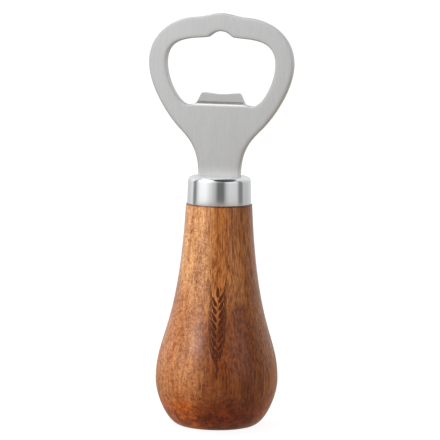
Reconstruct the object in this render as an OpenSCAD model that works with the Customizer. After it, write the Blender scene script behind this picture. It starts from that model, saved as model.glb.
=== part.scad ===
// Upright bottle opener: a flat steel head held in a turned wooden handle by a steel ferrule.
// Frame: the origin is the centre of the flat base, +Z is up, and the head's front looks along -Y.

/* [Handle] */
// Height of the wood from its base to the shoulder that carries the ferrule
handle_h = 76.1; // [64:0.1:92]
// Radius of the bulb at its widest
bulb_r = 21; // [17:0.1:26]
// Height of the widest part of the bulb
bulb_z = 15.4; // [12.5:0.1:19]
// Radius of the flat that the opener stands on
base_r = 13.5; // [11:0.1:15]
// How far the wood stands out past the foot of the ferrule
wood_step = 0.4; // [0:0.05:1]

/* [Ferrule] */
// Height of the ferrule
ferrule_h = 9.4; // [7.5:0.1:12]
// Outer radius at the foot of the ferrule
ferrule_r = 10.95; // [9.1:0.05:13.2]
// Radius that the ferrule loses from its foot to its shoulder
ferrule_draw = 0.25; // [0:0.05:0.5]
// Outer radius of the rounded shoulder
ferrule_round = 1.6; // [1:0.1:2.5]
// Thickness of the drawn steel
ferrule_wall = 0.8; // [0.5:0.05:1]

/* [Head] */
// Thickness of the plate
plate_t = 3; // [2:0.1:4]
// Width of the loop
head_w = 51.2; // [42:0.1:62]
// Height of the loop's widest part above the ferrule
head_mid = 38.5; // [34:0.1:44]
// Height of the loop's shoulders above its widest part
crown_h = 15.5; // [12:0.1:18.6]
// Height of the rounded bump above the shoulders
bump_h = 1.4; // [0.8:0.1:2.4]
// Width of the bump, with the curves that run into the shoulders
bump_w = 18; // [14:0.1:22]
// Width of the neck where it leaves the ferrule
neck_w = 14.6; // [12:0.1:16]

/* [Opening] */
// Width of the bar at each side of the loop
bar_side = 6.1; // [4.5:0.1:7.5]
// Width of the bar at the shoulders
bar_top = 6.8; // [5:0.1:8]
// Height of the scallops' lowest points above the ferrule
scallop_z = 24.2; // [21:0.1:26]
// Distance between the scallops' lowest points
scallop_gap = 23; // [21:0.1:27]
// Width of the notch under the bump
notch_w = 10; // [7:0.1:11]
// Depth of the notch
notch_h = 2.1; // [1:0.1:2.6]

/* [Lip] */
// Width of the lip at its root
lip_root_w = 17; // [14.5:0.1:18.5]
// Width of the lip at its tip, before its corners are rounded
lip_tip_w = 13.6; // [11:0.1:14.4]
// Height of the lip's root line above the scallops
lip_root_z = 0.7; // [0.4:0.1:1.2]
// Height of the lip's corners above its root line
lip_h = 3.5; // [2.8:0.1:4.5]
// Depth of the hollow curve along the tip
lip_dish = 0.45; // [0.1:0.05:0.8]
// Radius of the lip's corners
lip_round = 1; // [0.4:0.1:1.2]
// Depth of the step that thins the lip on its front
lip_step = 1; // [0.5:0.1:1.6]

/* [Tang] */
// Length of the tang below the neck's shoulders
tang_len = 42; // [30:0.5:50]
// Width of each shoulder on which the neck rests on the wood
tang_shoulder = 1.3; // [1:0.1:2]
// How much the tang narrows on each side down to its end
tang_taper = 1.5; // [0.5:0.1:2]
// Radius of the corners at the tang's end
tang_round = 1.5; // [0.5:0.1:2]
// Diameter of the holes that the adhesive fills
key_d = 4; // [3:0.1:5]
// Distance from the neck's shoulders to the first hole
key_start = 11; // [9:0.5:13]
// Distance between the two holes
key_pitch = 16; // [12:0.5:18]

/* [Fits] */
// Thickness of the adhesive round the tang
glue = 0.6; // [0.3:0.05:0.9]
// Thickness of the adhesive between the tenon and the ferrule's top
glue_cap = 0.5; // [0.3:0.05:0.8]
// Gap round the neck in the ferrule's slot
slot_gap = 0.15; // [0.1:0.05:0.3]
// Gap between the wooden tenon and the inside of the ferrule
tenon_gap = 0.1; // [0.05:0.05:0.2]

/* [Hidden] */
$fn = 96;
eps = 0.5;

// Levels, from the base up
ferrule_top = handle_h + ferrule_h;
cavity_top = ferrule_top - ferrule_wall;
tenon_top = cavity_top - glue_cap;
tang_end = tenon_top - tang_len;
mid_z = ferrule_top + head_mid;
crown_z = mid_z + crown_h;
scallop_low = ferrule_top + scallop_z;
lip_root = scallop_low + lip_root_z;
lip_tip = lip_root + lip_h;

// Radii of the ferrule's inside and of what fills it
cavity_r = ferrule_r - ferrule_draw - ferrule_wall;
cavity_round = ferrule_round - ferrule_wall;
tenon_r = cavity_r - tenon_gap;
neck_r = ferrule_r + wood_step;

// Width of the tang at its top, inside the neck's shoulders
tang_w = neck_w - 2 * tang_shoulder;

// Half widths of the loop and of its opening
head_x = head_w / 2;
open_x = head_x - bar_side;
neck_x = neck_w / 2;
mouth_x = notch_w / 2;
open_top = crown_z - bar_top;

// Slope at which the loop's shoulders run down from the bump
shoulder_slope = 0.05;
// Slope at which the opening's top runs down from the notch
brow_slope = 0.1;
// Steepness of the flank where it turns from round to hollow
flank_angle = 44;
// Place of that turn, across and up from the neck to the widest part
flank_across = 0.39;
flank_up = 0.42;

function blend_point(a, b, c, d, t) =
    a * pow(1 - t, 3) + 3 * b * t * pow(1 - t, 2) + 3 * c * (1 - t) * t * t + d * pow(t, 3);

// Points of a smooth curve from a to d that leaves towards b and arrives from c; a is left out
function curve(a, b, c, d, steps) = [for (i = [1:steps]) blend_point(a, b, c, d, i / steps)];

function mirrored(points) = [for (i = [len(points) - 1:-1:0]) [-points[i][0], points[i][1]]];

// Points of the arc of radius r that rounds the corner b between a and c
function round_corner(a, b, c, r, steps) =
    let (u = (a - b) / norm(a - b))
    let (v = (c - b) / norm(c - b))
    let (half = acos(u * v) / 2)
    let (centre = b + (u + v) / norm(u + v) * r / sin(half))
    let (from = b + u * r / tan(half) - centre)
    let (to = b + v * r / tan(half) - centre)
    [for (i = [0:steps]) centre + (from * sin((1 - i / steps) * (180 - 2 * half))
        + to * sin(i / steps * (180 - 2 * half))) / sin(180 - 2 * half)];

// Right half of the plate's outline, from the top of the bump down to the end of the tang
function outer_half() =
    let (top = [0, crown_z + bump_h])
    let (shoulder = [bump_w / 2, crown_z])
    let (wide = [head_x, mid_z])
    let (flank = [neck_x + flank_across * (head_x - neck_x), ferrule_top + flank_up * head_mid])
    let (lean = [cos(flank_angle), sin(flank_angle)])
    let (neck = [neck_x, ferrule_top])
    let (tang = [tang_w / 2, tenon_top])
    let (corner = [tang_w / 2 - tang_taper, tang_end])
    concat(
        [top],
        curve(top, top + [bump_w / 6, 0], shoulder + bump_w / 4.5 * [-1, shoulder_slope], shoulder, 10),
        curve(shoulder, shoulder + 0.485 * (head_x - bump_w / 2) * [1, -shoulder_slope],
            wide + [0, 0.635 * crown_h], wide, 20),
        curve(wide, wide - [0, 0.37 * (mid_z - flank[1])], flank + 0.26 * (mid_z - flank[1]) * lean, flank, 14),
        curve(flank, flank - 0.39 * (flank[1] - ferrule_top) * lean,
            neck + [0, 0.52 * (flank[1] - ferrule_top)], neck, 14),
        [[neck_x, tenon_top], tang],
        round_corner(tang, corner, [0, tang_end], tang_round, 6)
    );

// Right half of the opening's outline, from the top of the notch down to the middle of the lip
function opening_half() =
    let (notch = [0, open_top + notch_h])
    let (mouth = [mouth_x, open_top])
    let (wide = [open_x, mid_z])
    let (scallop = [scallop_gap / 2, scallop_low])
    let (root = [lip_root_w / 2, lip_root])
    let (tip = [lip_tip_w / 2, lip_tip])
    let (side = (tip - root) / norm(tip - root))
    let (middle = [0, lip_tip - lip_dish])
    let (shaped = round_corner(root, tip, [0, lip_tip], lip_round, 6))
    let (last = shaped[6])
    concat(
        [notch],
        curve(notch, notch + [mouth_x * 0.6, 0], mouth - 0.28 * mouth_x * [1, -brow_slope], mouth, 12),
        curve(mouth, mouth + 0.46 * (open_x - mouth_x) * [1, -brow_slope],
            wide + [0, 0.97 * (open_top - mid_z)], wide, 20),
        curve(wide, wide - [0, 0.45 * (mid_z - scallop_low)], scallop + [0.43 * (open_x - scallop[0]), 0],
            scallop, 16),
        curve(scallop, scallop - [0.42 * (scallop[0] - root[0]), 0], root + side * 0.15 - side * 0.55,
            root + side * 0.15, 6),
        shaped,
        curve(last, last - [last[0] * 0.3, 0], [last[0] * 0.4, middle[1]], middle, 8)
    );

module upright(thickness) {
    rotate([90, 0, 0])
        linear_extrude(thickness, center = true)
            children();
}

// Hole through the tang, filled by the adhesive
module key_hole(index) {
    translate([0, 0, tenon_top - key_start - index * key_pitch])
        rotate([90, 0, 0])
            cylinder(h = plate_t + 2 * eps, d = key_d, center = true);
}

// Plate without the lip's step: loop, neck and tang in one piece
module plate_body() {
    difference() {
        upright(plate_t)
            polygon(concat(outer_half(), mirrored(outer_half())));
        upright(plate_t + 2 * eps)
            polygon(concat(opening_half(), mirrored(opening_half())));
        for (i = [0:1]) key_hole(i);
    }
}

// Step that thins the lip on its front, so that it slips under a cap's rim
module lip_recess() {
    translate([-scallop_gap / 2, -plate_t / 2 - eps, lip_root])
        cube([scallop_gap, lip_step + eps, lip_h + eps]);
}

module opener_plate() {
    color("#b9babb")
        difference() {
            plate_body();
            lip_recess();
        }
}

// Space that the neck takes above the tenon, with a gap all round
module neck_room(gap) {
    translate([-neck_x - gap, -plate_t / 2 - gap, tenon_top - eps])
        cube([neck_w + 2 * gap, plate_t + 2 * gap, ferrule_h]);
}

// Drawn steel cup, closed at the top except for the slot that the neck passes through
module ferrule() {
    side = ferrule_r - ferrule_draw;
    color("#d9dadb")
        difference() {
            rotate_extrude()
                polygon(concat(
                    [[0, handle_h], [ferrule_r, handle_h]],
                    round_corner([ferrule_r, handle_h], [side, ferrule_top], [0, ferrule_top], ferrule_round, 8),
                    [[0, ferrule_top]]));
            rotate_extrude()
                polygon(concat(
                    [[0, handle_h - eps], [cavity_r, handle_h - eps]],
                    round_corner([cavity_r, handle_h], [cavity_r, cavity_top], [0, cavity_top], cavity_round, 6),
                    [[0, cavity_top]]));
            neck_room(slot_gap);
        }
}

// Mortise for the tang, with room for the adhesive all round
module mortise(extra) {
    translate([-tang_w / 2 - glue, -plate_t / 2 - glue, tang_end - glue])
        cube([tang_w + 2 * glue, plate_t + 2 * glue, tang_len + glue + extra]);
}

// Turned handle: flat base, full bulb, slender top and the tenon inside the ferrule
module handle() {
    foot = [base_r, 0];
    wide = [bulb_r, bulb_z];
    top = [neck_r, handle_h];
    reach = 0.735 * (handle_h - bulb_z);
    color("#a06a42")
        difference() {
            rotate_extrude()
                polygon(concat(
                    [[0, 0], foot],
                    curve(foot, foot + [0.55 * (bulb_r - base_r), 0.1 * bulb_z], wide - [0, 0.32 * bulb_z], wide, 16),
                    curve(wide, wide + [0, 0.257 * (handle_h - bulb_z)], top + reach * [0.05, -1], top, 28),
                    [[tenon_r, handle_h], [tenon_r, tenon_top - cavity_round],
                        [tenon_r - cavity_round, tenon_top], [0, tenon_top]]));
            mortise(eps);
        }
}

// Cured adhesive: it fills the mortise round the tang, its holes, and the gap under the ferrule's top
module tang_epoxy() {
    color("#c9b98a") {
        difference() {
            mortise(glue_cap);
            plate_body();
        }
        difference() {
            translate([0, 0, tenon_top])
                cylinder(h = glue_cap, r = cavity_r - cavity_round - tenon_gap);
            neck_room(0);
        }
    }
}

handle();
ferrule();
opener_plate();
tang_epoxy();
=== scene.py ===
# %% [markdown]
# # A souvenir bottle opener
# A turned hardwood handle, a drawn steel ferrule and a stamped steel head make one small tool.
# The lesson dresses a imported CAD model: the model is the fixed frame, and every piece made here
# sits in the frame's own metres. Three pieces are rebuilt as fine meshes, the hidden adhesive
# keeps its CAD shape, and one small ornament is burnt into the wood.

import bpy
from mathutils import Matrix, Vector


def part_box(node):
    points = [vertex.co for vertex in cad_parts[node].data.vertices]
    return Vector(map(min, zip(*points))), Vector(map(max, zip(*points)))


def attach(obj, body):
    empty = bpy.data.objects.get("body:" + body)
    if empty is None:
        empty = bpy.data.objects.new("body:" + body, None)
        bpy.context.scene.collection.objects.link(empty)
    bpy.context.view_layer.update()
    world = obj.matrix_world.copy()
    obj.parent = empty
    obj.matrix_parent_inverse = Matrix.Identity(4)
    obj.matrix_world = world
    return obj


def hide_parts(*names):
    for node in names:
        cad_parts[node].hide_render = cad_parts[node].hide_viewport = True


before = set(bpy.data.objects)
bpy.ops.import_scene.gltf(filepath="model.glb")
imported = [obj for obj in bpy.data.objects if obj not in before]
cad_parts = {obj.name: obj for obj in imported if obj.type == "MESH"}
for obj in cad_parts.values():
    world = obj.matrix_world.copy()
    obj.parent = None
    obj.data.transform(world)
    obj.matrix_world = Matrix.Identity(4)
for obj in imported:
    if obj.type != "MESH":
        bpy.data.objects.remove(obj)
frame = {"nodes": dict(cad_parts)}
print("CAD nodes:", ", ".join(frame["nodes"]))

# %% The other modules
import math

import bmesh
import bpy
from mathutils import Matrix, Vector
from mathutils.geometry import tessellate_polygon

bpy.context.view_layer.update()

# %% [markdown]
# ## Sizes
# The outer sizes are read from the frame's boxes, so they can't drift from the CAD model. The sizes
# that a box can't show, such as where the handle is widest, are named here once, in millimetres.

# %% Sizes that the frame gives
MM = 0.001
handle_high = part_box("handle")[1]
ferrule_low, ferrule_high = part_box("ferrule")
plate_low, plate_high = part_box("opener_plate")
glue_low, glue_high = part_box("tang_epoxy")
BULB_R = handle_high.x
TENON_TOP = handle_high.z
FERRULE_R = ferrule_high.x
FERRULE_FOOT = ferrule_low.z
FERRULE_TOP = ferrule_high.z
HEAD_X = plate_high.x
HEAD_TOP = plate_high.z
TANG_END = plate_low.z
HALF_T = plate_high.y
print("handle", round(BULB_R / MM, 2), "ferrule", round(FERRULE_R / MM, 2), "head", round(HEAD_X / MM, 2))

# %% Sizes that several pieces share
WOOD_STEP = 0.4 * MM  # how far the wood stands out past the ferrule
NECK_W = 14.6 * MM  # head's neck where it enters the ferrule
TANG_W = 12 * MM  # tang inside the handle
GLUE = 0.6 * MM  # adhesive all round the tang
print("wood stands", round(WOOD_STEP / MM, 2), "mm proud of the ferrule")


# %% [markdown]
# ## Writing node trees as sums
# Both the shapes and the finishes are node trees. One class wraps a socket so that `1 - mask` or
# `a * b` adds its own Math node, and one method makes every other node: its settings first, because
# they decide which sockets it has, and then what its sockets hold.

# %% A socket that can be added and scaled
class Value:
    """A node's output. Arithmetic on it adds Math nodes to its own tree."""

    def __init__(self, graph, socket):
        self.graph = graph
        self.socket = socket

    def also(self, output):
        """Another output of the same node."""
        return Value(self.graph, self.socket.node.outputs[output])


def add_operator(name, operation):
    """Gives Value an operator and its reflected form, so that both a - 1 and 1 - a work."""
    setattr(Value, f"__{name}__", lambda self, other: self.graph.math(operation, self, other))
    setattr(Value, f"__r{name}__", lambda self, other: self.graph.math(operation, other, self))


OPERATORS = {"add": "ADD", "sub": "SUBTRACT", "mul": "MULTIPLY", "truediv": "DIVIDE"}
for name, operation in OPERATORS.items():
    add_operator(name, operation)
print("values know", ", ".join(OPERATORS))


# %% A node tree, and the ways of adding to it
class Graph:
    """A node tree and the few ways of adding to it that this lesson needs."""

    def __init__(self, tree):
        self.tree = tree
        tree.nodes.clear()

    def feed(self, socket, value):
        for one in value if isinstance(value, list) else [value]:
            if isinstance(one, Value):
                self.tree.links.new(one.socket, socket)
            else:
                socket.default_value = one

    def node(self, kind, sockets=None, output=0, **settings):
        """Settings go first, because they decide which sockets a node has."""
        made = self.tree.nodes.new(kind)
        for name, value in settings.items():
            if name == "stops":
                self.set_stops(made.color_ramp, value)
            else:
                setattr(made, name, value)
        for key, value in (sockets or {}).items():
            self.feed(made.inputs[key], value)
        return Value(self, made.outputs[output]) if made.outputs else made

    def set_stops(self, ramp, stops):
        while len(ramp.elements) < len(stops):
            ramp.elements.new(0.5)
        for element, (place, colour) in zip(ramp.elements, stops):
            element.position = place
            element.color = colour

    def math(self, operation, *values):
        return self.node("ShaderNodeMath", dict(enumerate(values)), operation=operation)

    def ramp(self, value, low, high, out_low=0.0, out_high=1.0):
        """A smooth step from out_low to out_high as value goes from low to high."""
        sockets = dict(enumerate([value, low, high, out_low, out_high]))
        return self.node("ShaderNodeMapRange", sockets, interpolation_type="SMOOTHSTEP")

    def vector(self, x, y, z):
        return self.node("ShaderNodeCombineXYZ", {0: x, 1: y, 2: z})

    def split(self, vector):
        x = self.node("ShaderNodeSeparateXYZ", {0: vector})
        return x, x.also("Y"), x.also("Z")


print("node helpers ready")


# %% [markdown]
# ## Turning on a lathe, with nodes
# The handle and the ferrule are both round about the tool's axis: one was turned, the other drawn in
# a die. A lathe is a rule, so Geometry Nodes make them: the profile is a chain of Bézier segments,
# and sweeping it round a small circle gives the surface. Welding the bands closes seam and poles.
# The sizes are the tree's named inputs, so a size can be changed without touching the tree.

# %% A tree with named inputs
def shape_tree(name, sizes):
    """A Geometry Nodes tree whose inputs are the named sizes. Returns its graph and those inputs."""
    tree = bpy.data.node_groups.new(name, "GeometryNodeTree")
    tree.interface.new_socket("Geometry", in_out="OUTPUT", socket_type="NodeSocketGeometry")
    for size_name in sizes:
        tree.interface.new_socket(size_name, in_out="INPUT", socket_type="NodeSocketFloat")
    graph = Graph(tree)
    entry = tree.nodes.new("NodeGroupInput")
    return graph, {s: Value(graph, entry.outputs[s]) for s in sizes}


print("trees take named sizes")


# %% The profile's segments
PATH_R = 1 * MM  # radius of the circle that the profile is swept round
ROUND_REACH = 0.5523  # a Bézier handle this long makes a quarter circle


def on_profile(graph, radius, height):
    """A profile point as the sweep wants it: out from the path circle, and heights running down."""
    return graph.vector(radius - PATH_R, 0.0 - height, 0.0)


def bend(graph, a, b, c, d, steps):
    """One Bézier segment of the profile, through (radius, height) points."""
    points = {k: on_profile(graph, *p) for k, p in zip(("Start", "Start Handle", "End Handle", "End"),
                                                       (a, b, c, d))}
    return graph.node("GeometryNodeCurvePrimitiveBezierSegment", {"Resolution": steps, **points},
                      mode="POSITION")


def quarter(graph, a, corner, b, steps=8):
    """A quarter round from a to b inside a corner."""
    near_a = tuple(p + (q - p) * ROUND_REACH for p, q in zip(a, corner))
    near_b = tuple(p + (q - p) * ROUND_REACH for p, q in zip(b, corner))
    return bend(graph, a, near_a, near_b, b, steps)


def straight(graph, a, b):
    ends = {"Start": on_profile(graph, *a), "End": on_profile(graph, *b)}
    return graph.node("GeometryNodeCurvePrimitiveLine", ends)


print("profile helpers ready")


# %% The lathe, the cutter and the tree's end
TURN_STEPS = 192  # facets round the axis
WELD = 0.002 * MM  # vertices nearer than this are one


def turned(graph, segments):
    """Sweeps the profile round the axis and welds it."""
    profile = graph.node("GeometryNodeJoinGeometry", {0: segments})
    path = graph.node("GeometryNodeCurvePrimitiveCircle", {"Resolution": TURN_STEPS, "Radius": PATH_R})
    swept = graph.node("GeometryNodeCurveToMesh", {"Curve": path, "Profile Curve": profile})
    return graph.node("GeometryNodeMergeByDistance", {"Geometry": swept, "Distance": WELD})


def box_cut(graph, body, size, centre):
    """The body less a box, for a mortise or a slot."""
    block = graph.node("GeometryNodeMeshCube", {"Size": graph.vector(*size)})
    block = graph.node("GeometryNodeTransform", {"Geometry": block, "Translation": graph.vector(*centre)})
    return graph.node("GeometryNodeMeshBoolean", {"Mesh 1": body, "Mesh 2": [block]},
                      operation="DIFFERENCE", solver="EXACT")


def finish_tree(graph, body, material):
    whole = graph.node("GeometryNodeRealizeInstances", {"Geometry": body})
    whole = graph.node("GeometryNodeSetMaterial", {"Geometry": whole, "Material": material})
    graph.node("NodeGroupOutput", {0: whole})


print("lathe ready:", TURN_STEPS, "facets round")


# %% From a tree to a plain mesh piece
SHARP = math.radians(38)  # edges that turn further than this stay crisp


def grow(name, graph, sizes, material):
    """Runs the tree on an empty mesh and returns its result as a plain mesh object."""
    seed = bpy.data.objects.new(name + "_seed", bpy.data.meshes.new(name + "_seed"))
    bpy.context.collection.objects.link(seed)
    modifier = seed.modifiers.new("grow", "NODES")
    modifier.node_group = graph.tree
    for item in graph.tree.interface.items_tree:
        if item.in_out == "INPUT":
            modifier[item.identifier] = sizes[item.name]
    mesh = bpy.data.meshes.new_from_object(seed.evaluated_get(bpy.context.evaluated_depsgraph_get()))
    bpy.data.objects.remove(seed)
    return settle(name, mesh, material)


def settle(name, mesh, material):
    """Links a mesh as a piece: welded, faces outwards, smooth but for its true edges."""
    work = bmesh.new()
    work.from_mesh(mesh)
    bmesh.ops.remove_doubles(work, verts=work.verts, dist=WELD)
    bmesh.ops.dissolve_degenerate(work, edges=work.edges, dist=WELD / 2)
    bmesh.ops.recalc_face_normals(work, faces=work.faces)
    open_edges = sum(1 for e in work.edges if len(e.link_faces) != 2)
    work.to_mesh(mesh)
    work.free()
    mesh.name = name
    mesh.materials.clear()
    mesh.materials.append(material)
    mesh.shade_smooth()
    mesh.set_sharp_from_angle(angle=SHARP)
    piece = bpy.data.objects.new(name, mesh)
    bpy.context.collection.objects.link(piece)
    print(name, len(mesh.polygons), "faces,", open_edges, "open edges")
    return piece


print("edges over", round(math.degrees(SHARP)), "degrees stay crisp")


# %% [markdown]
# ## Finishes
# Every finish reads Object coordinates, turned into millimetres first, so that a pore or a brush
# line has its true size whatever the mesh under it is. A few helpers come first, then the wood; the
# head's steel comes later, beside the head.

# %% Patterns measured in millimetres
def place_in_mm(graph, squeeze=(1, 1, 1), shift=(0, 0, 0)):
    """Object coordinates in millimetres, each axis squeezed to stretch a pattern along it."""
    coords = graph.node("ShaderNodeTexCoord", None, "Object")
    return graph.node("ShaderNodeMapping", {
        "Vector": coords,
        "Location": shift,
        "Scale": tuple(s / MM for s in squeeze),
    })


def noise(graph, squeeze, detail=2.0, rough=0.5, warp=0.0, shift=(0, 0, 0)):
    """Noise with about one feature to the millimetre, then squeezed along each axis."""
    return graph.node("ShaderNodeTexNoise", {
        "Vector": place_in_mm(graph, squeeze, shift),
        "Scale": 1.0,
        "Detail": detail,
        "Roughness": rough,
        "Distortion": warp,
    })


def cells(graph, squeeze, shift=(0, 0, 0)):
    """How far each place is from the middle of its Voronoi cell."""
    return graph.node("ShaderNodeTexVoronoi", {
        "Vector": place_in_mm(graph, squeeze, shift),
        "Scale": 1.0,
    })


print("noise and cells ready, in millimetres")


# %% Colours, relief, and a blank finish to put them in
def blend(graph, factor, a, b, mode="MIX"):
    """Mixes two colours."""
    return graph.node("ShaderNodeMix", {0: factor, 6: a, 7: b}, 2,
                      data_type="RGBA", blend_type=mode, clamp_factor=True)


def bump(graph, height, depth, strength=1.0):
    """Height from 0 to 1, and how deep that is in metres."""
    return graph.node("ShaderNodeBump", {"Height": height, "Distance": depth, "Strength": strength})


def new_finish(name):
    material = bpy.data.materials.new(name)
    material.use_nodes = True
    return material, Graph(material.node_tree)


def surface(graph, sockets):
    shader = graph.node("ShaderNodeBsdfPrincipled", sockets)
    graph.node("ShaderNodeOutputMaterial", {"Surface": shader})


def grey(level):
    return (level, level, level, 1)


def srgb(red, green, blue):
    """A colour as a screen shows it, 0 to 255, turned into the linear light that shaders use."""
    def linear(part):
        part = part / 255
        return part / 12.92 if part <= 0.04045 else ((part + 0.055) / 1.055) ** 2.4
    return (linear(red), linear(green), linear(blue), 1.0)


print("finish helpers ready")

# %% [markdown]
# ### Oiled hardwood
# The handle is a reddish-brown hardwood with its grain upright and a satin oil finish. One side of
# it is pale golden wood with a cross ripple, the other is brown with long dark fibres, and a streak
# of dark heartwood runs up the bulb. All of it is a solid pattern in space, built in four steps: the
# broad zones, the figure, the pores and the finish. Low on the bulb the turned face cuts across the
# fibres, which drink more oil there, so the wood is deeper and blotchy towards the foot.

# %% The wood's colours
GOLDEN = (0.53, 0.25, 0.105, 1)  # linear, as the shader takes them
HONEY = (0.43, 0.165, 0.06, 1)
BROWN = (0.375, 0.125, 0.030, 1)
HEART = (0.17, 0.036, 0.006, 1)
SHADOW_TINT = (0.56, 0.43, 0.30, 1)  # what a dark fibre does to the wood's colour
LIGHT_TINT = (1.50, 1.62, 1.50, 1)  # and a pale one
FOOT_TINT = (0.88, 0.48, 0.10, 1)  # oiled end grain
# darkens the pores, and also makes the painted shade under the ferrule
PORE_AND_JOINT_SHADE_TINT = (0.38, 0.28, 0.22, 1)
PALE_HEADING = math.radians(-85)  # the golden side, measured round from the front
HEART_HEADING = math.radians(33)
print("golden wood at", round(math.degrees(PALE_HEADING)), "degrees")


# %% The wood's broad zones
NEAR_AXIS = 6.0  # millimetres; a heading counts for less inside this
PALE_EDGE = (-0.22, 0.30)  # facing the golden side, from all brown to all golden
HEART_EDGE = (0.70, 0.96)  # facing the heart's side, from none to full
CREEP_UP = (3.0, 24.0)  # heights in millimetres over which pale wood creeps round the foot,
FOOT_UP = (5.0, 16.0)  # the oiled end grain fades out,
HEART_UP = (36.0, 47.0)  # the heart streak fades out,
GOLD_UP = (38.0, 56.0)  # and honey turns golden
CREEP = 0.85


def tinted(graph, amount, colour, tint):
    """The colour times a tint, by as much as amount says."""
    return blend(graph, amount, colour, tint, "MULTIPLY")


def toward(graph, x, y, heading):
    """1 on the side that faces a heading, 0 square to it, -1 at the back; softer near the axis."""
    reach = graph.math("MAXIMUM", graph.math("SQRT", x * x + y * y), NEAR_AXIS)
    return (x * math.sin(heading) - y * math.cos(heading)) / reach


def wood_zones(graph):
    x, y, z = graph.split(place_in_mm(graph))
    sway = noise(graph, (0.10, 0.10, 0.035), 3.0, 0.6) - 0.5
    comb = noise(graph, (0.9, 0.9, 0.03), 3.0, 0.6, shift=(5, 2, 9)) - 0.5
    creep = graph.ramp(z, *CREEP_UP, CREEP, 0.0)
    side = toward(graph, x, y, PALE_HEADING) + sway * 0.4 + comb * 0.7 + creep
    pale = graph.ramp(side, *PALE_EDGE)
    low = graph.ramp(z + sway * 22.0, *HEART_UP, 1.0, 0.0)
    streak = toward(graph, x, y, HEART_HEADING) + sway * 0.3 + comb * 0.2
    heart = graph.ramp(streak, *HEART_EDGE) * low
    foot = graph.ramp(z + sway * 14.0, *FOOT_UP, 1.0, 0.0)
    light = blend(graph, graph.ramp(z + sway * 20.0, *GOLD_UP), HONEY, GOLDEN)
    colour = blend(graph, pale, BROWN, light)
    colour = blend(graph, heart * 0.85, colour, HEART)
    return tinted(graph, foot, colour, FOOT_TINT), pale, foot, z


print("heart fades out by", HEART_UP[1], "mm, end grain by", FOOT_UP[1], "mm")


# %% The wood's figure: bands, fibres and ripple
def wood_figure(graph, pale, foot):
    """How light or dark the figure makes each place: 0.5 leaves the colour alone."""
    band = noise(graph, (0.42, 0.42, 0.014), 3.0, 0.6, shift=(3, 7, 1)) - 0.5
    fibre = noise(graph, (1.9, 1.9, 0.13), 3.0, 0.65) - 0.5
    hair = noise(graph, (4.0, 4.0, 0.50), 2.0, 0.6) - 0.5
    ripple = noise(graph, (0.75, 0.75, 1.25), 2.0, 0.6, 0.8, (2, 5, 8)) - 0.5
    blotch = noise(graph, (0.36, 0.36, 0.38), 4.0, 0.66, shift=(9, 4, 6)) - 0.5
    tone = 0.5 + band * 1.5 + hair * 1.4
    tone = tone + fibre * (3.6 - pale * 2.5)
    return tone + ripple * (pale * 1.6 + 0.3) + blotch * (foot * 2.9 + 0.5), fibre, hair


print("figure ready")


# %% The wood's pores
def wood_pores(graph):
    """Short dark dashes, some 0.25 mm wide and 1 to 2 mm long, thicker in some places."""
    large = cells(graph, (1.05, 1.05, 0.22))
    small = cells(graph, (1.9, 1.9, 0.40), (4, 1, 3))
    crowd = graph.ramp(noise(graph, (0.22, 0.22, 0.08)), 0.38, 0.62, 0.35, 1.0)
    return graph.ramp(large, 0.12, 0.24, 1.0, 0.0) * crowd + graph.ramp(small, 0.10, 0.2, 0.45, 0.0)


print("pores ready, in two sizes")


# %% The wood as one finish
WOOD_RELIEF = 0.05 * MM  # fibres stand this much above the pores
JOINT_SHADE_BAND = (0.55, 0.20)  # millimetres under the ferrule over which shade is painted on the wood


wood, graph = new_finish("oiled_hardwood")
colour, pale, foot, z = wood_zones(graph)
tone, fibre, hair = wood_figure(graph, pale, foot)
pores = wood_pores(graph)
colour = tinted(graph, graph.ramp(tone, 0.5, 0.0), colour, SHADOW_TINT)
colour = tinted(graph, graph.ramp(tone, 0.5, 1.0), colour, LIGHT_TINT)
colour = tinted(graph, pores, colour, PORE_AND_JOINT_SHADE_TINT)
# painted shade: a thin band of wood just under the ferrule is darkened, where the joint lies in shadow
edge = graph.ramp(z, *(FERRULE_FOOT / MM - down for down in JOINT_SHADE_BAND))
colour = tinted(graph, edge, colour, PORE_AND_JOINT_SHADE_TINT)
height = fibre * 0.35 + hair * 0.25 - pores * 0.8
surface(graph, {
    "Base Color": colour,
    "Roughness": 0.31 + fibre * 0.10 + pores * 0.25,
    "IOR": 1.32,
    "Coat Weight": 0.3,
    "Coat Roughness": 0.2,
    "Normal": bump(graph, height, WOOD_RELIEF, 0.55),
})
print("wood nodes:", len(wood.node_tree.nodes))

# %% [markdown]
# ### Polished steel
# The ferrule is drawn and polished until it mirrors, with only faint buffing lines round it. Buffing
# leaves soft smears, so the roughness drifts a little instead of being one number.

# %% The polished steel
DRAWN_STEEL = (0.80, 0.81, 0.82, 1)
BUFFED_STEEL = grey(0.86)
BUFF_DEPTH = 0.002 * MM


polished, graph = new_finish("polished_steel")
buff = noise(graph, (0.4, 0.4, 14.0), 3.0, 0.6)
smear = noise(graph, (0.25, 0.25, 0.25), 3.0, 0.6)
colour = blend(graph, smear * 0.5, DRAWN_STEEL, BUFFED_STEEL)
surface(graph, {
    "Base Color": colour,
    "Metallic": 1.0,
    "Roughness": 0.07 + buff * 0.05 + smear * 0.04,
    "Normal": bump(graph, buff, BUFF_DEPTH, 0.5),
})
print(polished.name, "nodes:", len(polished.node_tree.nodes))

# %% [markdown]
# ### Cured adhesive and scorched wood
# The adhesive is hidden round the tang; it still gets an amber, slightly cloudy finish in case the
# tool is taken apart. The ornament is wood that a hot stamp has charred: dull, near black brown, and
# uneven where the grain took more or less heat.

# %% The adhesive and the char
AMBER = (srgb(196, 172, 118), srgb(224, 206, 160))
CHAR = (srgb(62, 28, 14), srgb(98, 50, 28))
ROUGH_SKIN = 0.05 * MM  # depth of the adhesive's bubbles and of the charred fibres


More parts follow.
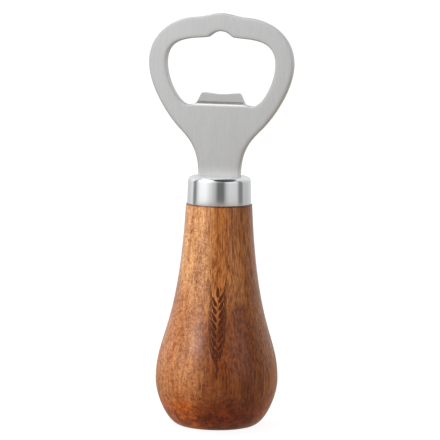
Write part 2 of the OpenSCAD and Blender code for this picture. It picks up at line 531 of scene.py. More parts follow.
adhesive, graph = new_finish("cured_adhesive")
cloud = noise(graph, (0.8, 0.8, 0.8), 4.0, 0.6)
bubbles = graph.ramp(cells(graph, (1.4, 1.4, 1.4)), 0.1, 0.3)
surface(graph, {
    "Base Color": blend(graph, cloud, *AMBER),
    "Roughness": 0.22 + cloud * 0.2,
    "Normal": bump(graph, bubbles, ROUGH_SKIN, 0.5),
})
char, graph = new_finish("scorched_wood")
fibre = noise(graph, (3.0, 3.0, 0.25), 4.0, 0.65)
surface(graph, {
    "Base Color": blend(graph, graph.ramp(fibre, 0.35, 0.7), *CHAR),
    "Roughness": 0.6 + fibre * 0.2,
    "IOR": 1.25,
    "Normal": bump(graph, fibre, ROUGH_SKIN, 0.6),
})
print("made", adhesive.name, "and", char.name)

# %% [markdown]
# ## The handle
# A lathe tool cut this pear shape in one pass: out from a flat foot, round the widest ring low down,
# and up in one long ogee to the neck. It then cut a short spigot that the ferrule slides over, and
# a slot was sunk into its top for the tang. The same steps are the tree's steps.

# %% The handle's sizes, as the tree's inputs
HANDLE_SIZES = {
    "Foot radius": 13.5 * MM,  # the flat that the tool stands on
    "Foot round": 0.5 * MM,
    "Bulb radius": BULB_R,
    "Bulb height": 15.4 * MM,
    "Neck radius": FERRULE_R + WOOD_STEP,
    "Neck height": FERRULE_FOOT,
    "Neck round": 0.3 * MM,
    "Tenon radius": 9.8 * MM,  # the spigot inside the ferrule
    "Tenon top": TENON_TOP,
    "Mortise width": TANG_W + 2 * GLUE,
    "Mortise thickness": 2 * (HALF_T + GLUE),
    "Mortise foot": glue_low.z,
}
print(len(HANDLE_SIZES), "sizes for the handle")


# %% The handle's tree
SWELL = 0.55  # how far out the foot's curve heads before it turns up
BULB_HOLD = 0.257  # how long the bulb holds its width, as a share of the rise
NECK_RUN = 0.735  # how long the neck runs nearly straight, as a share of the rise
NECK_LEAN = 0.05  # its slope there


graph, size = shape_tree("turned_handle", HANDLE_SIZES)
(foot_r, ease, bulb_r, bulb_z, neck_r, neck_z, lip, tenon_r, tenon_z,
 mortise_w, mortise_t, mortise_foot) = size.values()
rise = neck_z - bulb_z
swell = foot_r + (bulb_r - foot_r) * SWELL
run = rise * NECK_RUN
parts = [
    straight(graph, (0.0, 0.0), (foot_r - ease, 0.0)),
    bend(graph, (foot_r - ease, 0.0), (foot_r - ease * 0.4, 0.0),
         (foot_r + ease * 0.15, ease * 0.02), (foot_r + ease * 0.5, ease * 0.22), 6),
    bend(graph, (foot_r + ease * 0.5, ease * 0.22), (swell, bulb_z * 0.12),
         (bulb_r, bulb_z * 0.68), (bulb_r, bulb_z), 48),
    bend(graph, (bulb_r, bulb_z), (bulb_r, bulb_z + rise * BULB_HOLD),
         (neck_r + run * NECK_LEAN, neck_z - run), (neck_r, neck_z - lip), 120),
    bend(graph, (neck_r, neck_z - lip), (neck_r, neck_z - lip * 0.45),
         (neck_r - lip * 0.45, neck_z), (neck_r - lip, neck_z), 6),
    straight(graph, (neck_r - lip, neck_z), (tenon_r, neck_z)),
    straight(graph, (tenon_r, neck_z), (tenon_r, tenon_z)),
    straight(graph, (tenon_r, tenon_z), (0.0, tenon_z)),
]
mortise = (mortise_w, mortise_t, (tenon_z - mortise_foot) * 2)
body = box_cut(graph, turned(graph, parts), mortise, (0.0, 0.0, tenon_z))
finish_tree(graph, body, wood)
handle = grow("turned_handle", graph, HANDLE_SIZES, wood)

# %% [markdown]
# ## The ferrule
# A disc of thin steel was drawn into a cup, its shoulder rounded by the die, and a slot punched
# through its top for the neck. It is a true shell here, with an inside wall, a trimmed rim and the
# slot, made by the same lathe.

# %% The ferrule's sizes
SLOT_GAP = 0.15 * MM  # air each side of the neck
FERRULE_SIZES = {
    "Foot radius": FERRULE_R,
    "Shoulder radius": FERRULE_R - 0.25 * MM,  # a drawn cup tapers a little
    "Shoulder round": 1.6 * MM,
    "Foot height": FERRULE_FOOT,
    "Top height": FERRULE_TOP,
    "Cavity radius": glue_high.x,
    "Cavity top": glue_high.z,
    "Cavity round": 0.8 * MM,
    "Rim round": 0.2 * MM,
    "Slot width": NECK_W + 2 * SLOT_GAP,
    "Slot thickness": 2 * (HALF_T + SLOT_GAP),
}
print(len(FERRULE_SIZES), "sizes for the ferrule")


# %% The ferrule's tree
graph, size = shape_tree("drawn_ferrule", FERRULE_SIZES)
foot_r, top_r, bow, foot_z, top_z, in_r, in_z, in_bow, rim, slot_w, slot_t = size.values()
parts = [
    straight(graph, (in_r, foot_z), (foot_r - rim, foot_z)),
    quarter(graph, (foot_r - rim, foot_z), (foot_r, foot_z), (foot_r, foot_z + rim)),
    straight(graph, (foot_r, foot_z + rim), (top_r, top_z - bow)),
    quarter(graph, (top_r, top_z - bow), (top_r, top_z), (top_r - bow, top_z), 14),
    straight(graph, (top_r - bow, top_z), (0.0, top_z)),
    straight(graph, (0.0, in_z), (in_r - in_bow, in_z)),
    quarter(graph, (in_r - in_bow, in_z), (in_r, in_z), (in_r, in_z - in_bow)),
    straight(graph, (in_r, in_z - in_bow), (in_r, foot_z)),
]
body = box_cut(graph, turned(graph, parts), (slot_w, slot_t, bow * 4), (0.0, 0.0, top_z))
finish_tree(graph, body, polished)
ferrule = grow("drawn_ferrule", graph, FERRULE_SIZES, polished)

# %% [markdown]
# ## The opener head
# The head was stamped from 3 mm plate: a ring that goes round a crown cap, a flared neck, and a tang
# that runs down into the wood. Its lip, which hooks under the cap's skirt, was pressed a millimetre
# thinner from the front, with a soft step at its root. Tumbling wore all the edges round. A mesh
# written by hand suits it best: the outline is a loop of points, and each point carries a short
# column of vertices from the front face, over the worn edge, down the wall and round to the back.

# %% Sizes of the head
MID_Z = FERRULE_TOP + 38.5 * MM  # height of the ring's widest place
BUMP_H = 1.4 * MM  # crown's raised middle
BUMP_W = 18 * MM
CROWN_Z = HEAD_TOP - BUMP_H
BAR_SIDE = 6.1 * MM  # width of the ring at its sides
BAR_TOP = 6.8 * MM  # and at its top
OPEN_X = HEAD_X - BAR_SIDE
OPEN_TOP = CROWN_Z - BAR_TOP
NOTCH_W = 10 * MM  # shallow notch in the brow
NOTCH_H = 2.1 * MM
SCALLOP_Z = FERRULE_TOP + 24.2 * MM
SCALLOP_X = 11.5 * MM  # lowest point of each scallop beside the lip
LIP_ROOT_X = 8.5 * MM
LIP_TIP_X = 6.8 * MM
LIP_ROOT_Z = SCALLOP_Z + 0.7 * MM
LIP_TIP_Z = LIP_ROOT_Z + 3.5 * MM
LIP_DISH = 0.45 * MM  # hollow along the lip's edge
LIP_ROUND = 1 * MM
LIP_STEP = 1 * MM  # how much thinner the lip is
STEP_BROW = 1.3 * MM  # rounded top of that step
TANG_TAPER = 1.5 * MM
TANG_ROUND = 1.5 * MM
print("opening", round(2 * OPEN_X / MM, 1), "mm wide, lip to brow",
      round((OPEN_TOP - LIP_TIP_Z) / MM, 1), "mm")


# %% Points along curves and round corners
def along(a, b, c, d, step):
    """Points on a cubic curve about one step apart, its first point left out."""
    hull = (b - a).length + (c - b).length + (d - c).length
    count = max(3, round(hull / step))
    fractions = [(i + 1) / count for i in range(count)]
    return [a * (1 - t) ** 3 + b * (3 * t * (1 - t) ** 2) + c * (3 * t * t * (1 - t)) + d * t ** 3
            for t in fractions]


def eased(a, corner, b, radius, step):
    """The arc that rounds a corner between straight runs from a and to b, both its ends included."""
    to_a = (a - corner).normalized()
    to_b = (b - corner).normalized()
    half = to_a.angle(to_b) / 2
    centre = corner + (to_a + to_b).normalized() * (radius / math.sin(half))
    start = corner + to_a * (radius / math.tan(half)) - centre
    end = corner + to_b * (radius / math.tan(half)) - centre
    turn = math.atan2(start.x * end.y - start.y * end.x, start.dot(end))
    count = max(4, round(radius * abs(turn) / step))
    return [centre + start @ Matrix.Rotation(-turn * i / count, 2) for i in range(count + 1)]


def xz(x, z):
    return Vector((x, z))


print("curve helpers ready")


# %% The right half of the outside
STEP = 0.35 * MM  # spacing of outline points
CROWN_SLOPE = 0.05  # how the crown falls away beside its bump
FLANK_LEAN = math.radians(44)  # slope where the ring flares into the neck
FLANK_OUT = 0.39  # how far out and up that place is, as shares of the way from the neck
FLANK_UP = 0.42
TANG_CORNER = 0.6 * MM  # round where the neck meets the tenon's top
TANG_PARTS = 24  # points down the tang's side


def outer_half():
    """Each curve leaves its ends along a handle, given as a share of its span."""
    top = xz(0, HEAD_TOP)
    shoulder = xz(BUMP_W / 2, CROWN_Z)
    wide = xz(HEAD_X, MID_Z)
    flank_x = NECK_W / 2 + FLANK_OUT * (HEAD_X - NECK_W / 2)
    flank_z = FERRULE_TOP + FLANK_UP * (MID_Z - FERRULE_TOP)
    flank = xz(flank_x, flank_z)
    lean = xz(math.cos(FLANK_LEAN), math.sin(FLANK_LEAN))
    neck = xz(NECK_W / 2, FERRULE_TOP)
    below = MID_Z - flank_z
    above = flank_z - FERRULE_TOP
    crown = HEAD_X - BUMP_W / 2
    points = [top]
    points += along(top, top + xz(BUMP_W / 6, 0), shoulder + xz(-1, CROWN_SLOPE) * (BUMP_W / 4.5),
                    shoulder, STEP)
    points += along(shoulder, shoulder + xz(1, -CROWN_SLOPE) * (0.485 * crown),
                    wide + xz(0, 0.635 * (CROWN_Z - MID_Z)), wide, STEP)
    points += along(wide, wide - xz(0, 0.37 * below), flank + lean * (0.26 * below), flank, STEP)
    points += along(flank, flank - lean * (0.39 * above), neck + xz(0, 0.52 * above), neck, STEP)
    return points + tang_half(neck)


def tang_half(neck):
    shoulder = xz(neck.x, TENON_TOP)
    inner = xz(TANG_W / 2, TENON_TOP)
    foot = xz(TANG_W / 2 - TANG_TAPER, TANG_END)
    middle = xz(0, TANG_END)
    points = eased(neck, shoulder, inner, TANG_CORNER, STEP / 3)
    points += [inner]
    run = foot - inner
    points += [inner + run * (i / TANG_PARTS) for i in range(1, TANG_PARTS - 1)]
    points += eased(inner, foot, middle, TANG_ROUND, STEP)
    return points + [middle]


outer = outer_half()
print(len(outer), "points down the outside's right half")


# %% The right half of the opening
FINE = 0.12 * MM  # spacing of points round the lip
BROW_SLOPE = 0.1  # how the brow falls away from its notch


def opening_half():
    notch = xz(0, OPEN_TOP + NOTCH_H)
    mouth = xz(NOTCH_W / 2, OPEN_TOP)
    wide = xz(OPEN_X, MID_Z)
    scallop = xz(SCALLOP_X, SCALLOP_Z)
    root = xz(LIP_ROOT_X, LIP_ROOT_Z)
    tip = xz(LIP_TIP_X, LIP_TIP_Z)
    side = (tip - root).normalized() * MM
    brow = xz(1, -BROW_SLOPE)
    points = [notch]
    points += along(notch, notch + xz(mouth.x * 0.6, 0), mouth - brow * (0.28 * mouth.x),
                    mouth, STEP / 2)
    points += along(mouth, mouth + brow * (0.46 * (OPEN_X - mouth.x)),
                    wide + xz(0, 0.97 * (OPEN_TOP - MID_Z)), wide, STEP)
    points += along(wide, wide - xz(0, 0.45 * (MID_Z - SCALLOP_Z)),
                    scallop + xz(0.43 * (OPEN_X - SCALLOP_X), 0), scallop, STEP)
    foot = root + side * 0.15
    points += along(scallop, scallop - xz(0.42 * (SCALLOP_X - root.x), 0), foot - side * 0.55,
                    foot, FINE)
    corner = eased(root, tip, xz(0, LIP_TIP_Z), LIP_ROUND, FINE)
    run = corner[0] - foot
    count = round(run.length / FINE)
    points += [foot + run * (i / count) for i in range(1, count)]
    points += corner
    last = corner[-1]
    points += along(last, last - xz(0.3 * last.x, 0), xz(0.4 * last.x, LIP_TIP_Z - LIP_DISH),
                    xz(0, LIP_TIP_Z - LIP_DISH), STEP)
    return points


opening = opening_half()
print(len(opening), "points down the opening's right half")

# %% [markdown]
# ### Brushed steel
# A belt brushed the head up and down: fine upright scratches blur its reflections sideways, so its
# surface is rougher across the scratches than along them. Tumbling then dulled the edges, and they and
# the pressed lip are also lightened in colour as a painted highlight. Sliding the ferrule on rubbed
# the foot of the neck pale, and a dark line of painted shade runs along the lip's corner.

# %% The brushed steel
DARK_STEEL = grey(0.56)
PALE_STEEL = (0.65, 0.65, 0.648, 1)
# partly wear, partly painted highlight: lightens the worn edges and the pressed lip's face
WORN_AND_HIGHLIGHT_TINT = grey(1.22)
RUBBED_TINT = grey(1.2)
# painted shade: darkens the front along the lip's root, where the step's corner lies in shadow
CORNER_SHADE_TINT = grey(0.45)
SCRATCH = 0.008 * MM
RUBBED_UP = (0.6, 4.5)  # millimetres above the ferrule where the rubbed foot fades out
CORNER_UP = 0.25  # millimetres from the lip's root to the middle of the painted shade line
CORNER_WIDE = 0.40  # millimetres from its middle to where it ends


def lip_corner_shade(graph, x, y, z):
    """Where shade is painted: 1 along the lip's root on the front, 0 elsewhere."""
    off_root = graph.math("ABSOLUTE", z - (LIP_ROOT_Z / MM + CORNER_UP))
    line = graph.ramp(off_root, CORNER_WIDE * 0.4, CORNER_WIDE, 1.0, 0.0)
    line = line * graph.ramp(graph.math("ABSOLUTE", x), SCALLOP_X / MM - 1, SCALLOP_X / MM, 1.0, 0.0)
    return line * graph.ramp(y, -1.0, 0.0, 1.0, 0.0)


brushed, graph = new_finish("brushed_steel")
worn = graph.node("ShaderNodeAttribute", None, "Fac", attribute_name="worn")
lines = noise(graph, (5.0, 5.0, 0.20), 3.0, 0.7)
fine = noise(graph, (12.0, 12.0, 0.60), 2.0, 0.6)
cloud = noise(graph, (0.10, 0.10, 0.05), 2.0, 0.5)
grain = (lines * 0.6 + fine * 0.4 - 0.5) * (1 - worn * 0.75) + 0.5
tone = graph.ramp(grain * 0.8 + cloud * 0.2, 0.3, 0.7)
x, y, z = graph.split(place_in_mm(graph))
rubbed = graph.ramp(z, *(FERRULE_TOP / MM + up for up in RUBBED_UP), 1.0, 0.0)
colour = blend(graph, tone, DARK_STEEL, PALE_STEEL)
# painted highlight on top of the wear: the worn edges and the lip's face are lightened
colour = tinted(graph, worn, colour, WORN_AND_HIGHLIGHT_TINT)
colour = tinted(graph, rubbed, colour, RUBBED_TINT)
# painted shade along the lip's root
colour = tinted(graph, lip_corner_shade(graph, x, y, z), colour, CORNER_SHADE_TINT)
surface(graph, {
    "Base Color": colour,
    "Metallic": 1.0,
    "Roughness": 0.25 + (1 - grain) * 0.12 + worn * 0.22,
    "Anisotropic": 0.8,
    "Normal": bump(graph, grain, SCRATCH, 0.6),
})
print(brushed.name, "nodes:", len(brushed.node_tree.nodes))

# %% [markdown]
# ### Worn edges
# Tumbling with small stones rounds every edge: a wide soft roll-off into the face, then a tight round
# at the corner. The outline is walked point by point, so the worn edge can narrow at tight turns.

# %% How wide the worn edge is at each point of a loop
EDGE_WIDE = 1.3 * MM  # how far tumbling wore into the face
EDGE_ROLL = 0.06  # how deep that soft roll-off is, as a share of its width
EDGE_TIGHT = 0.24  # the tight round at the very corner, as a share of the width
LIP_EDGE = 0.45 * MM  # the pressed lip keeps a narrower edge
EDGE_GROWS = 0.45  # how fast the worn edge may widen along the outline


def whole(half):
    """The right half, then its mirror back to the start."""
    return half + [xz(-p.x, p.y) for p in reversed(half[1:-1])]


def on_lip(point):
    return abs(point.x) < SCALLOP_X * 0.97 and LIP_ROOT_Z - LIP_EDGE < point.y < LIP_TIP_Z + MM


def inward_normals(loop, side):
    """Unit normals into the steel. side is 1 where the steel is on the right of the way round."""
    normals = []
    for i, point in enumerate(loop):
        way = (loop[(i + 1) % len(loop)] - point).normalized() + (point - loop[i - 1]).normalized()
        normals.append(xz(way.y, -way.x).normalized() * side)
    return normals


def edge_widths(loop, side):
    """The worn edge narrows where the outline turns tightly, so that its inner loop never crosses."""
    count = len(loop)
    widths = []
    for i, point in enumerate(loop):
        before = point - loop[i - 1]
        after = loop[(i + 1) % count] - point
        turn = math.atan2(before.y * after.x - before.x * after.y, before.dot(after)) * side
        radius = (before.length + after.length) / 2 / turn if turn > 0.001 else math.inf
        target = LIP_EDGE if side < 0 and on_lip(point) else EDGE_WIDE
        widths.append(min(target, 0.8 * radius))
    for order in (range(2 * count), range(2 * count, 0, -1)):
        way = -1 if order[0] == 0 else 1
        for i in order:
            here, near = i % count, (i + way) % count
            gap = (loop[here] - loop[near]).length
            widths[here] = min(widths[here], widths[near] + EDGE_GROWS * gap)
    return widths


print("worn edge from", round(min(edge_widths(whole(outer), 1)) / MM, 2), "to",
      round(EDGE_WIDE / MM, 2), "mm wide outside")


# %% The front face, with the step down to the lip
WALL_SHARE = 0.8  # share of the step that the rounded brow takes; the rest is the fillet
FILLET = 0.2 * MM
GROOVE = 0.16 * MM  # the press bit this much deeper along the lip's root
GROOVE_W = 0.55 * MM


def front(point):
    """How far the front face is from the plate's middle plane."""
    start = LIP_ROOT_Z - STEP_BROW
    if abs(point.x) > SCALLOP_X or not start < point.y < LIP_TIP_Z + MM:
        return HALF_T
    if point.y < LIP_ROOT_Z:
        part = (point.y - start) / STEP_BROW
        return HALF_T - LIP_STEP * WALL_SHARE * (1 - math.sqrt(1 - part * part))
    part = min(1.0, (point.y - LIP_ROOT_Z) / FILLET)
    bite = GROOVE * part * max(0.0, 1 - (point.y - LIP_ROOT_Z) / GROOVE_W)
    return HALF_T - bite - LIP_STEP * (WALL_SHARE + (1 - WALL_SHARE) * math.sqrt(1 - (1 - part) ** 2))


print("lip face", round((HALF_T - front(xz(0, LIP_TIP_Z))) / MM, 2), "mm behind the front")


# %% Columns of vertices round a loop
ROLL_STEPS = 4
ROUND_STEPS = 5


def edge_profile(width):
    """(distance in from the outline, drop below the face, wear) pairs, from the face to the wall."""
    tight = width * EDGE_TIGHT
    reaches = [width + (tight - width) * i / ROLL_STEPS for i in range(ROLL_STEPS)]
    reaches += [tight * (1 - math.sin(math.pi / 2 * i / ROUND_STEPS)) for i in range(ROUND_STEPS + 1)]
    profile = []
    for reach in reaches:
        out = 1 - reach / width
        near = max(0.0, 1 - reach / tight)
        drop = width * EDGE_ROLL * out * out + tight * (1 - math.sqrt(1 - near * near))
        profile.append((reach, drop, out))
    return profile


def columns(work, worn, loop, side):
    """One column of vertices for each point, from the front face over the wall to the back face."""
    made = []
    for point, normal, width in zip(loop, inward_normals(loop, side), edge_widths(loop, side)):
        spots = [(point + normal * reach, drop, wear) for reach, drop, wear in edge_profile(width)]
        column = [(spot, drop - front(spot), wear) for spot, drop, wear in spots]
        column += [(spot, HALF_T - drop, wear) for spot, drop, wear in reversed(spots)]
        verts = []
        for spot, y, wear in column:
            vert = work.verts.new((spot.x, y, spot.y))
            vert[worn] = max(wear, 1.0 if y < 0 and front(spot) < HALF_T - LIP_STEP / 2 else 0.0)
            verts.append(vert)
        made.append(verts)
    for here, after in zip(made, made[1:] + made[:1]):
        for k in range(len(here) - 1):
            work.faces.new((here[k], here[k + 1], after[k + 1], after[k]))
    return made


def fill(work, *loops):
    """Triangles over the flat between loops, the first one outermost."""
    corners = [v for loop in loops for v in loop]
    flat = [[Vector((v.co.x, v.co.z, 0)) for v in loop] for loop in loops]
    for triple in tessellate_polygon(flat):
        work.faces.new([corners[i] for i in triple])


print(len(edge_profile(EDGE_WIDE)), "vertices over each worn edge")


# %% The head as one mesh
work = bmesh.new()
worn = work.verts.layers.float.new("worn")
rim = columns(work, worn, whole(outer), 1)
hole = columns(work, worn, whole(opening), -1)
last = len(opening) - 1
lowest = min(range(last), key=lambda i: hole[i][0].co.z)
start = LIP_ROOT_Z - STEP_BROW
first_row = next(i for i in range(lowest, last) if hole[i][0].co.z > start)
tip_row = next(i for i in range(first_row, last) if hole[i][0].co.z > LIP_TIP_Z - LIP_ROUND) - 1
mirror = {i: (2 * last - i) % (2 * last) for i in range(last + 1)}
main_hole = [hole[i][0] for i in range(first_row + 1)]
main_hole += [hole[mirror[i]][0] for i in range(first_row, 0, -1)]
fill(work, [c[0] for c in rim], main_hole)
for i in range(first_row, tip_row):
    work.faces.new([hole[i][0], hole[i + 1][0], hole[mirror[i + 1]][0], hole[mirror[i]][0]])
tip = [hole[i][0] for i in range(tip_row, last + 1)]
tip += [hole[mirror[i]][0] for i in range(last - 1, tip_row - 1, -1)]
fill(work, tip)
fill(work, [c[-1] for c in rim], [c[-1] for c in hole])
mesh = bpy.data.meshes.new("opener_head")
work.to_mesh(mesh)
work.free()
print("lip rows:", tip_row - first_row)
head = settle("opener_head", mesh, brushed)

# %% Shading that keeps the flats flat
weigh = head.modifiers.new("weigh", "WEIGHTED_NORMAL")
weigh.keep_sharp = True
seen = head.evaluated_get(bpy.context.evaluated_depsgraph_get())
head.data = bpy.data.meshes.new_from_object(seen)
head.modifiers.clear()
print("normals weighed on", len(head.data.polygons), "faces")

# %% [markdown]
# ## The burnt ornament
# The maker's side of the handle carries a mark burnt in with a hot stamp. This one is a plain ear of
# barley that reads upward. Grains and awns repeat up a stem, so nodes set them out: a row of points
# gives each grain its height and its side, one lens shape is placed on every point, and the whole
# flat ear is then laid onto the turned face by casting each of its points straight back at the wood.

# %% The ear's sizes, as the tree's inputs
EAR_HEADING = math.radians(18)  # how far round from the front the mark is burnt
EAR_FOOT = 18.6 * MM
EAR_ROWS = 16  # grains, left and right in turn
EAR_SIZES = {
    "Stem foot": EAR_FOOT,
    "Stem width": 0.60 * MM,
    "First grain": EAR_FOOT + 7.6 * MM,
    "Grain pitch": 1.30 * MM,
    "Grain length": 3.7 * MM,
    "Grain width": 1.50 * MM,
    "Grain reach": 1.20 * MM,
    "Awn length": 7.0 * MM,
    "Awn width": 0.40 * MM,
    "Awn reach": 2.45 * MM,
    "Proud": 0.05 * MM,
}
GRAIN_TILT = math.radians(24)
AWN_TILT = math.radians(9)
print(EAR_ROWS, "grains", round(EAR_SIZES["Grain pitch"] / MM, 2), "mm apart")


# %% One lens, and a row of them
def lens(graph, width, length, proud, taper):
    """A closed lens standing up in Z, its tip drawn in by the taper."""
    ball = graph.node("GeometryNodeMeshUVSphere", {"Segments": 20, "Rings": 12, "Radius": 1.0})
    x, y, z = graph.split(graph.node("GeometryNodeInputPosition"))
    slim = 1 - (z + 1) * taper
    shape = graph.vector(x * slim * width * 0.5, y * proud, z * length * 0.5)
    return graph.node("GeometryNodeSetPosition", {"Geometry": ball, "Position": shape})


def row(graph, part, count, foot, pitch, reach, tilt):
    """Copies of a part up the ear, left and right of the stem in turn, each leaning outwards."""
    index = graph.node("GeometryNodeInputIndex")
    side = graph.math("MODULO", index, 2.0) * 2 - 1
    line = graph.node("GeometryNodeMeshLine", {"Count": count}, mode="OFFSET")
    spot = graph.vector(side * reach, 0.0, foot + index * pitch)
    points = graph.node("GeometryNodeSetPosition", {"Geometry": line, "Position": spot})
    return graph.node("GeometryNodeInstanceOnPoints", {
        "Points": points,
        "Instance": part,
        "Rotation": graph.vector(0.0, side * tilt, 0.0),
    })


print("lens and row ready")


# %% Laying the ear on the wood
CAST_FROM = -50 * MM  # in front of the wood
CAST_FAR = 100 * MM


def laid_on(graph, flat, wood_shape):
    """Lays a flat ear onto the wood: each point is cast at it along Y and keeps its own depth."""
    x, y, z = graph.split(graph.node("GeometryNodeInputPosition"))
    hit = graph.node("GeometryNodeRaycast", {
        "Target Geometry": wood_shape,
        "Source Position": graph.vector(x, CAST_FROM, z),
        "Ray Direction": (0.0, 1.0, 0.0),
        "Ray Length": CAST_FAR,
    }, "Hit Position")
    depth = graph.node("ShaderNodeVectorMath", {0: hit.also("Hit Normal"), "Scale": 0.0 - y},
                       operation="SCALE")
    landed = graph.node("ShaderNodeVectorMath", {0: hit, 1: depth}, operation="ADD")
    return graph.node("GeometryNodeSetPosition", {"Geometry": flat, "Position": landed})


print("ear is cast from", round(-CAST_FROM / MM), "mm in front")


# %% The ear's tree
graph, size = shape_tree("barley_ear", EAR_SIZES)
(stem_foot, stem_w, first, pitch, grain_l, grain_w, grain_reach,
 awn_l, awn_w, awn_reach, proud) = size.values()
grain = lens(graph, grain_w, grain_l, proud, 0.30)
awn = lens(graph, awn_w, awn_l, proud * 0.9, 0.35)
stem_l = first - stem_foot + pitch * 3
stem = lens(graph, stem_w, stem_l, proud * 0.9, 0.10)
tip = first + pitch * EAR_ROWS
parts = [
    row(graph, grain, EAR_ROWS, first, pitch, grain_reach, GRAIN_TILT),
    row(graph, awn, EAR_ROWS, first + awn_l * 0.62, pitch, awn_reach, AWN_TILT),
    row(graph, grain, 1, tip + pitch * 0.4, pitch, 0.0, 0.0),
    row(graph, stem, 1, stem_foot + stem_l * 0.5, pitch, 0.0, 0.0),
]
joined = graph.node("GeometryNodeJoinGeometry", {0: parts})
flat = graph.node("GeometryNodeRealizeInstances", {0: joined})
source = graph.node("GeometryNodeObjectInfo", {"Object": handle}, "Geometry")
laid = laid_on(graph, flat, source)
turned_round = graph.node("GeometryNodeTransform", {"Geometry": laid, "Rotation": (0.0, 0.0, EAR_HEADING)})
finish_tree(graph, turned_round, char)
ear = grow("barley_ear_mark", graph, EAR_SIZES, char)

# %% [markdown]
# ## Putting the pieces on the frame
# Each piece stands for one CAD node, whose own mesh is hidden, and keeps the finish it was made with.
# The object is one rigid body, so all of it rides on the root. The adhesive keeps the CAD's own mesh.

# %% What each piece replaces
for piece, node, slot in (
    (handle, "handle", "turned_wood"),
    (ferrule, "ferrule", "polished_steel"),
    (head, "opener_plate", "brushed_steel"),
):
    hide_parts(node)
    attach(piece, "root")
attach(ear, "root")
glue_mesh = frame["nodes"]["tang_epoxy"].data
if not glue_mesh.materials:
    glue_mesh.materials.append(adhesive)
for i in range(len(glue_mesh.materials)):
    glue_mesh.materials[i] = adhesive
print("four pieces placed, and the adhesive's", len(glue_mesh.materials), "slot filled")

# %% [markdown]
# ## The studio
# Polished steel shows nothing but its surroundings, so its bands are made by what stands round it: a
# round wall of lit cloth, bright in places and dark at its seams, and a dim warm table top. Two soft
# lamps add light: one is kept on the wood, for its long soft highlight, and a weaker one on the steel.
# The camera sees none of these, only the tool on a pale floor.

# %% The camera's place
CAMERA_TURN = math.radians(18.0)
CAMERA_RISE = math.radians(6.62)
CAMERA_ROLL = math.radians(-0.84)
CAMERA_AWAY = 0.8
LENS = 191.4
AIM_SIDE = 0.38 * MM  # the view's middle is this far to the right of the tool's axis
AIM_UP = 70.4 * MM
AIM = Vector((math.cos(CAMERA_TURN) * AIM_SIDE, math.sin(CAMERA_TURN) * AIM_SIDE, AIM_UP))


def out_from(turn, rise):
    """The way out to a place, turned to the camera's right and raised above the level."""
    heading = CAMERA_TURN + turn
    return Vector((math.sin(heading) * math.cos(rise), -math.cos(heading) * math.cos(rise),
                   math.sin(rise)))


back = out_from(0.0, CAMERA_RISE)
data = bpy.data.cameras.new("camera")
data.lens = LENS
data.sensor_width = 36
data.clip_end = 100
camera = bpy.data.objects.new("camera", data)
level = (-back).to_track_quat("-Z", "Y").to_matrix()
camera.matrix_world = Matrix.Translation(AIM + back * CAMERA_AWAY) @ (
    level @ Matrix.Rotation(-CAMERA_ROLL, 3, "Z")).to_4x4()
bpy.context.collection.objects.link(camera)
bpy.context.scene.camera = camera
print("camera", CAMERA_AWAY, "m away, lens", LENS, "mm")


# %% The floor
WHITE = grey(1)
FLOOR_GREY = grey(0.3)
FLOOR_R = 30
FLOOR_GLOW = 0.88
DISC_STEPS = 96


def stage_finish(name, colour, glow, strength):
    material, graph = new_finish(name)
    surface(graph, {
        "Base Color": colour,
        "Roughness": 0.9,
        "Specular IOR Level": 0.0,
        "Emission Color": glow,
        "Emission Strength": strength,
    })
    return material


def on_stage(name, work, material):
    """Turns a bmesh into a linked object with the given finish, for the stage round the tool."""
    mesh = bpy.data.meshes.new(name)
    work.to_mesh(mesh)
    work.free()
    mesh.materials.append(material)
    made = bpy.data.objects.new(name, mesh)
    bpy.context.collection.objects.link(made)
    return made


def disc(radius, height):
    work = bmesh.new()
    bmesh.ops.create_circle(work, cap_ends=True, segments=DISC_STEPS, radius=radius)
    bmesh.ops.translate(work, verts=work.verts, vec=(0, 0, height))
    return work


floor = on_stage("floor", disc(FLOOR_R, 0), stage_finish("pale_floor", FLOOR_GREY, WHITE, FLOOR_GLOW))
floor.visible_diffuse = False  # the table top and the lamps light the tool instead
floor.visible_glossy = False
print("floor", FLOOR_R, "m round")


# %% The sky
DARK_TURN = math.radians(35)  # middle of the dark canopy, to the camera's right
DARK_RISE = math.radians(68)
DARK_EDGE = (0.80, 0.88)  # cosines from its rim in to where it is full
ROOM_LIGHT = 0.85
DARK_LIGHT = 0.06


# White behind everything the camera sees; a pale room with a dark canopy for the light.
world = bpy.data.worlds.new("studio")
world.use_nodes = True
graph = Graph(world.node_tree)
ray = graph.node("ShaderNodeLightPath")
seen = graph.node("ShaderNodeBackground", {"Color": grey(1), "Strength": 1.0})
canopy = tuple(out_from(DARK_TURN, DARK_RISE))
way = graph.node("ShaderNodeTexCoord", None, "Generated")
near = graph.node("ShaderNodeVectorMath", {0: way, 1: canopy}, "Value", operation="DOT_PRODUCT")
level = graph.ramp(near, *DARK_EDGE, ROOM_LIGHT, DARK_LIGHT)
lit = graph.node("ShaderNodeBackground", {"Color": graph.vector(level, level, level)})
both = graph.node("ShaderNodeMixShader", {0: ray, 1: lit, 2: seen})
graph.node("ShaderNodeOutputWorld", {"Surface": both})
bpy.context.scene.world = world
print("sky ready, with a dark canopy")


# %% The tent's tones
TENT_STOPS = (  # degrees to the camera's right, and how bright the cloth is there
    (-180, 0.55),
    (-135, 0.60),
    (-112, 0.74),
    (-105, 0.22),
    (-94, 0.22),
    (-84, 0.70),
    (-72, 0.93),
    (-50, 0.96),
    (-38, 0.76),
    (-14, 0.40),
    (-5, 0.14),
    (14, 0.13),
    (27, 0.50),
    (38, 0.62),
    (66, 0.59),
    (77, 0.20),
    (90, 0.20),
    (97, 0.47),
    (118, 0.48),
    (145, 0.58),
    (180, 0.55),
)


print(len(TENT_STOPS), "tones round the tent")


# %% The tent's cloth
TENT_R = 0.5  # metres from the tool to the cloth
TENT_TOP = 0.42  # height of the cloth
TENT_GLOW = 1.55
HEM_SHADE = 0.25  # how much darker the cloth is at its foot
HEM_TOP = 0.6  # and how far up that fades out, as a share of its height


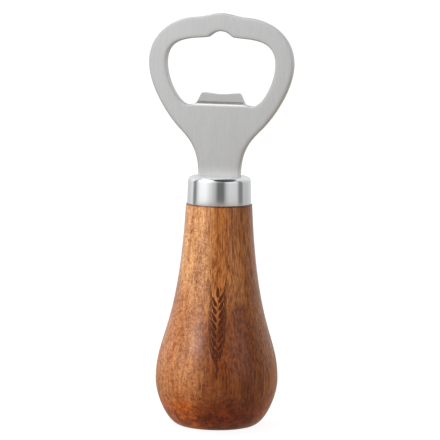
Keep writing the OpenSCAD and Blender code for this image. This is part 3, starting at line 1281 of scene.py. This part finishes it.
# Lit cloth whose brightness goes round the tool, with dark seams where its panels meet.
cloth, graph = new_finish("tent_cloth")
x, y, z = graph.split(graph.node("ShaderNodeTexCoord", None, "Object"))
heading = graph.math("ARCTAN2", x, 0.0 - y)
turn = graph.math("FRACT", (heading - CAMERA_TURN) / (2 * math.pi) + 1.5)
stops = [((angle + 180) / 360, (level, level, level, 1)) for angle, level in TENT_STOPS]
colour = graph.node("ShaderNodeValToRGB", {0: turn}, stops=stops)
shade = graph.ramp(z / TENT_TOP, 0.0, HEM_TOP, HEM_SHADE, 0.0)
colour = blend(graph, shade, colour, grey(0))
surface(graph, {
    "Base Color": grey(0),
    "Specular IOR Level": 0.0,
    "Emission Color": colour,
    "Emission Strength": TENT_GLOW,
})
print(cloth.name, "nodes:", len(cloth.node_tree.nodes))


# %% The tent and its table top
TABLE_GREY = grey(0.1)
TABLE_LIGHT = (1, 0.88, 0.74, 1)
TABLE_GLOW = 0.38
TABLE_DOWN = 1 * MM  # the table top is this far under the pale floor
TENT_STEPS = 128


def backstage(made):
    """Only lights and reflects: the camera doesn't see it."""
    made.visible_camera = False
    made.visible_shadow = False


wall = bmesh.new()
bmesh.ops.create_cone(wall, segments=TENT_STEPS, radius1=TENT_R, radius2=TENT_R, depth=TENT_TOP)
bmesh.ops.translate(wall, verts=wall.verts, vec=(0, 0, TENT_TOP / 2))
table = stage_finish("dim_table", TABLE_GREY, TABLE_LIGHT, TABLE_GLOW)
backstage(on_stage("tent_wall", wall, cloth))
backstage(on_stage("tent_floor", disc(TENT_R, -TABLE_DOWN), table))
print("tent", TENT_R, "m in radius,", TENT_TOP, "m tall")


# %% The lamps
def lamp(name, turn, rise, away, size, watts, colour):
    """A square soft lamp aimed at the tool, turn degrees to the camera's right."""
    data = bpy.data.lights.new(name, "AREA")
    data.shape = "RECTANGLE"
    data.size = size[0]
    data.size_y = size[1]
    data.energy = watts
    data.color = colour
    out = out_from(math.radians(turn), math.radians(rise))
    facing = out.to_track_quat("Z", "Y").to_matrix().to_4x4()
    made = bpy.data.objects.new(name, data)
    made.matrix_world = Matrix.Translation(AIM + out * away) @ facing
    made.visible_camera = False
    bpy.context.collection.objects.link(made)
    return made


def shine_only_on(source, pieces):
    """Links a lamp to some pieces, as a flag would keep its light off the others."""
    lit = bpy.data.collections.new(source.name + "_lights")
    for piece in pieces:
        lit.objects.link(piece)
    source.light_linking.receiver_collection = lit


key = lamp("key", -50, 35, 0.45, (0.23, 0.32), 1.7, (1.0, 0.97, 0.93))
shine_only_on(key, (handle, ear))
glint = lamp("glint", -65, 48, 0.45, (0.34, 0.34), 0.50, (1.0, 1.0, 1.0))
shine_only_on(glint, (head, ferrule))
print(round(key.data.energy, 2), "W on the wood,", round(glint.data.energy, 2), "W on the steel")

# %% The picture's tones
bpy.context.scene.view_settings.view_transform = "Standard"
print("tones shown as they are")
